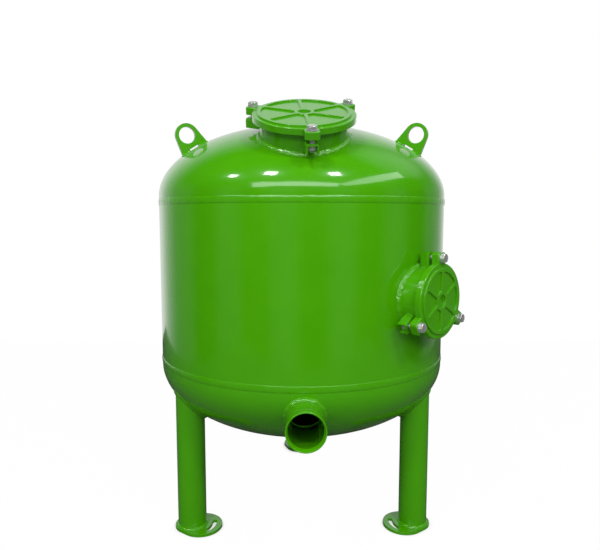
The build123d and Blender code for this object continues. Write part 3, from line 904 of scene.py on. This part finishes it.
class FILTER_OT_bracket_welds(bpy.types.Operator):
    """Lays the small beads that hold the nut brackets on the necks"""

    bl_idname = "filter.bracket_welds"
    bl_label = "Bracket welds"

    def execute(self, context):
        welds = context.scene.filter_welds
        for number, port in enumerate(PORTS.values()):
            axis, top = np.array(port.axis), np.array(port.top)
            brackets = points_of(f"{port.name}_nut_brackets") - top
            beads = []
            for index, place in enumerate(port.bolts.values()):
                outward = unit(np.array(place) - top)[0]
                sideways = np.cross(axis, outward)
                this_side = brackets @ outward > 0.5 * port.radius
                near = brackets[this_side & (np.abs(brackets @ sideways) < 20 * MM)]
                half = np.abs(near @ sideways).max()
                low, high = (near @ axis).min(), (near @ axis).max()
                depth = sqrt(port.radius**2 - half**2)
                for side in (-1, 1):

                    def line(values, side=side):
                        corner = top + depth * outward + side * half * sideways + np.outer(values, axis)
                        around = unit(side * sideways * depth - outward * half)[0]
                        toes = (np.broadcast_to(way, corner.shape) for way in (outward, around))
                        return corner, *toes

                    spans = (low + 1 * MM, high - 4 * MM)
                    seed = 80 + 10 * number + 2 * index + (side + 1) // 2
                    crown = 0.2 * welds.bracket_leg
                    beads.append(bead_geometry(line, spans, welds.bracket_leg, crown, seed, closed=False))
            weld_piece(f"{port.name}_bracket_beads", beads)
        return {"FINISHED"}


class FILTER_OT_stage(bpy.types.Operator):
    """Sets up floor, world, lamps and camera"""

    bl_idname = "filter.stage"
    bl_label = "Stage"

    def execute(self, context):
        make_floor()
        make_world()
        make_lamps()
        make_camera()
        context.scene.view_settings.view_transform = "Standard"
        return {"FINISHED"}


def make_floor():
    """Pale floor that shows white, darkens where the feet stand and throws little light back up."""
    finishes = bpy.context.scene.filter_finishes
    half = 1.7
    corners = [(-half, -half, 0), (half, -half, 0), (half, half, 0), (-half, half, 0)]
    mesh = bpy.data.meshes.new("studio_floor")
    mesh.from_pydata(corners, [], [(0, 1, 2, 3)])
    floor = bpy.data.objects.new("studio_floor", mesh)
    bpy.context.scene.collection.objects.link(floor)
    material, tree, _ = new_material("pale_studio_floor")
    ray = add_node(tree, "LightPath").outputs
    # The enamel mirrors a dim floor, and gets more soft light from it.
    bounced = add_node(
        tree,
        "Mix",
        {0: ray["Is Glossy Ray"], 6: opaque(finishes.floor, 0.3), 7: opaque(finishes.floor, 0.1)},
        data_type="RGBA",
    )
    tone = add_node(
        tree,
        "Mix",
        {0: ray["Is Camera Ray"], 6: bounced.outputs[2], 7: opaque(finishes.floor)},
        data_type="RGBA",
    )
    matte = add_node(tree, "BsdfDiffuse", {"Color": tone.outputs[2]})
    white = add_node(tree, "Emission", {"Color": [1, 1, 1, 1], "Strength": 1.0})
    # Where something stands close over the floor, the white gives way to its real shade.
    open_sky = add_node(tree, "AmbientOcclusion", {"Distance": 0.03}, samples=8)
    near = add_node(
        tree,
        "MapRange",
        {"Value": open_sky.outputs["AO"], "From Min": 0.4, "From Max": 0.88, "To Min": 0.1, "To Max": 0.985},
    )
    share = add_node(tree, "Math", {0: ray["Is Camera Ray"], 1: near}, operation="MULTIPLY")
    mixed = add_node(tree, "MixShader", {0: share, 1: matte, 2: white})
    add_node(tree, "OutputMaterial", {"Surface": mixed})
    mesh.materials.append(material)


def make_world():
    """White background. The object mirrors it at the sides, and at the front a dim hall with pale bays."""
    studio = bpy.context.scene.filter_studio
    world = bpy.data.worlds.new("studio_world")
    bpy.context.scene.world = world
    world.use_nodes = True
    tree = world.node_tree
    tree.nodes.clear()
    ray = add_node(tree, "LightPath").outputs
    place = add_node(tree, "TexCoord").outputs["Generated"]
    way = add_node(tree, "SeparateXYZ", {0: place}).outputs
    # The white begins a little further round on the right than on the left.
    side = add_node(tree, "Math", {0: way[0], 1: -0.12, 2: way[1]}, operation="MULTIPLY_ADD")
    white = add_node(
        tree,
        "MapRange",
        {"Value": side, "From Min": 0.35, "From Max": 0.85, "To Min": 0.0, "To Max": 0.8},
        interpolation_type="SMOOTHSTEP",
    )
    # Pale bays stand this many degrees apart, the nearest one this many left of the front.
    bay_pitch, bay_left = 44, 14
    front = add_node(tree, "Math", {0: way[1], 1: -1.0}, operation="MULTIPLY")
    azimuth = add_node(tree, "Math", {0: way[0], 1: front}, operation="ARCTAN2")
    turned = add_node(
        tree,
        "Math",
        {0: azimuth, 1: 360 / bay_pitch, 2: pi / 2 + 2 * pi * bay_left / bay_pitch},
        operation="MULTIPLY_ADD",
    )
    bays = add_node(tree, "Math", {0: turned}, operation="SINE")
    bays = add_node(
        tree, "MapRange", {"Value": bays, "From Min": -0.5, "From Max": 0.8, "To Min": 0.0, "To Max": 0.2}
    )
    low = add_node(
        tree, "MapRange", {"Value": way[2], "From Min": 0.12, "From Max": 0.4, "To Min": 1.0, "To Max": 0.1}
    )
    # A window high on the right glows softly.
    window = add_node(tree, "VectorMath", {0: place, 1: (0.641, 0.299, 0.707)}, operation="DOT_PRODUCT")
    glow = add_node(
        tree,
        "MapRange",
        {"Value": window.outputs["Value"], "From Min": 0.9, "From Max": 1.0, "To Min": 0.0, "To Max": 0.62},
        interpolation_type="SMOOTHSTEP",
    )
    lit = add_node(tree, "Math", {0: white, 1: glow}, operation="MAXIMUM")
    hall = add_node(tree, "Math", {0: bays, 1: low, 2: lit}, operation="MULTIPLY_ADD")
    glossy = add_node(
        tree, "Mix", {0: ray["Is Glossy Ray"], 2: studio.ambient, 3: hall}, data_type="FLOAT"
    )
    seen = add_node(
        tree, "Math", {0: ray["Is Camera Ray"], 1: ray["Is Transmission Ray"]}, operation="MAXIMUM"
    )
    strength = add_node(tree, "Mix", {0: seen, 2: glossy, 3: 1.0}, data_type="FLOAT")
    sky = add_node(tree, "Background", {"Color": [1, 1, 1, 1], "Strength": strength})
    add_node(tree, "OutputWorld", {"Surface": sky})


# Each lamp has the point on the tank that mirrors it, its azimuth from the front and its elevation
# in degrees, its width and height in metres, its roll in degrees and its power in watts.
LAMPS = {
    "left_lamp": ((-0.129, -0.287, 0.743), (-63, 38), (0.26, 0.26), 0, 9),
    "middle_lamp": ((-0.062, -0.306, 0.747), (-31, 48), (0.34, 0.34), 0, 20),
    "right_lamp": ((0.05, -0.31, 0.745), (30, 46), (0.34, 0.34), 0, 20),
    "front_strip": ((-0.02, -0.316, 0.728), (-6, 23), (3.3, 0.58), 0, 35),
    "side_strip": ((0.115, -0.296, 0.735), (60, 31), (3.0, 0.45), 14, 17),
}
LAMP_DISTANCE = 2.6


def make_lamps():
    """Area lamps that face the tank."""
    for name, (point, (azimuth, elevation), size, roll, power) in LAMPS.items():
        azimuth, elevation = radians(azimuth), radians(elevation)
        way = Vector((sin(azimuth) * cos(elevation), -cos(azimuth) * cos(elevation), sin(elevation)))
        data = bpy.data.lights.new(name, "AREA")
        data.energy = power * bpy.context.scene.filter_studio.light
        data.shape = "RECTANGLE"
        data.size, data.size_y = size
        lamp = bpy.data.objects.new(name, data)
        bpy.context.scene.collection.objects.link(lamp)
        lamp.location = Vector(point) + LAMP_DISTANCE * way
        facing = (-way).to_track_quat("-Z", "Y")
        lamp.rotation_euler = (facing @ Euler((0, 0, radians(roll))).to_quaternion()).to_euler()


CAMERA_PLACE = Vector((-27.3, -1316.1, 669.5)) * MM
CAMERA_YAW = 1.03
CAMERA_PITCH = 5.86


def make_camera():
    """The photograph's view: a little above the middle, looking slightly down."""
    data = bpy.data.cameras.new("photo_camera")
    data.sensor_width = 36
    data.lens = bpy.context.scene.filter_studio.lens
    camera = bpy.data.objects.new("photo_camera", data)
    bpy.context.scene.collection.objects.link(camera)
    camera.location = CAMERA_PLACE
    camera.rotation_euler = Euler((radians(90 - CAMERA_PITCH), 0, -radians(CAMERA_YAW)))
    bpy.context.scene.camera = camera


class FILTER_PT_panel(bpy.types.Panel):
    """Lists the steps that dress the filter"""

    bl_idname = "FILTER_PT_panel"
    bl_label = "Sand Filter"
    bl_space_type = "VIEW_3D"
    bl_region_type = "UI"
    bl_category = "Sand Filter"

    def draw(self, context):
        for operator in OPERATORS:
            self.layout.operator(operator.bl_idname)


OPERATORS = (
    FILTER_OT_finishes,
    FILTER_OT_seams,
    FILTER_OT_stub_welds,
    FILTER_OT_foot_welds,
    FILTER_OT_lug_welds,
    FILTER_OT_bracket_welds,
    FILTER_OT_pipes,
    FILTER_OT_bolts,
    FILTER_OT_stage,
)
SETTINGS = {
    "filter_tank": TankSizes,
    "filter_welds": WeldSizes,
    "filter_bolts": BoltSizes,
    "filter_pipes": PipeSizes,
    "filter_finishes": Finishes,
    "filter_studio": Studio,
}


def register():
    for group in SETTINGS.values():
        bpy.utils.register_class(group)
    for name, group in SETTINGS.items():
        setattr(bpy.types.Scene, name, bpy.props.PointerProperty(type=group))
    for kind in (*OPERATORS, FILTER_PT_panel):
        bpy.utils.register_class(kind)


def unregister():
    for kind in (FILTER_PT_panel, *reversed(OPERATORS)):
        bpy.utils.unregister_class(kind)
    for name, group in reversed(SETTINGS.items()):
        delattr(bpy.types.Scene, name)
        bpy.utils.unregister_class(group)


def main():
    register()
    bpy.ops.filter.finishes()
    bpy.ops.filter.seams()
    bpy.ops.filter.stub_welds()
    bpy.ops.filter.foot_welds()
    bpy.ops.filter.lug_welds()
    bpy.ops.filter.bracket_welds()
    bpy.ops.filter.pipes()
    bpy.ops.filter.bolts()
    bpy.ops.filter.stage()


if __name__ == "__main__":
    main()
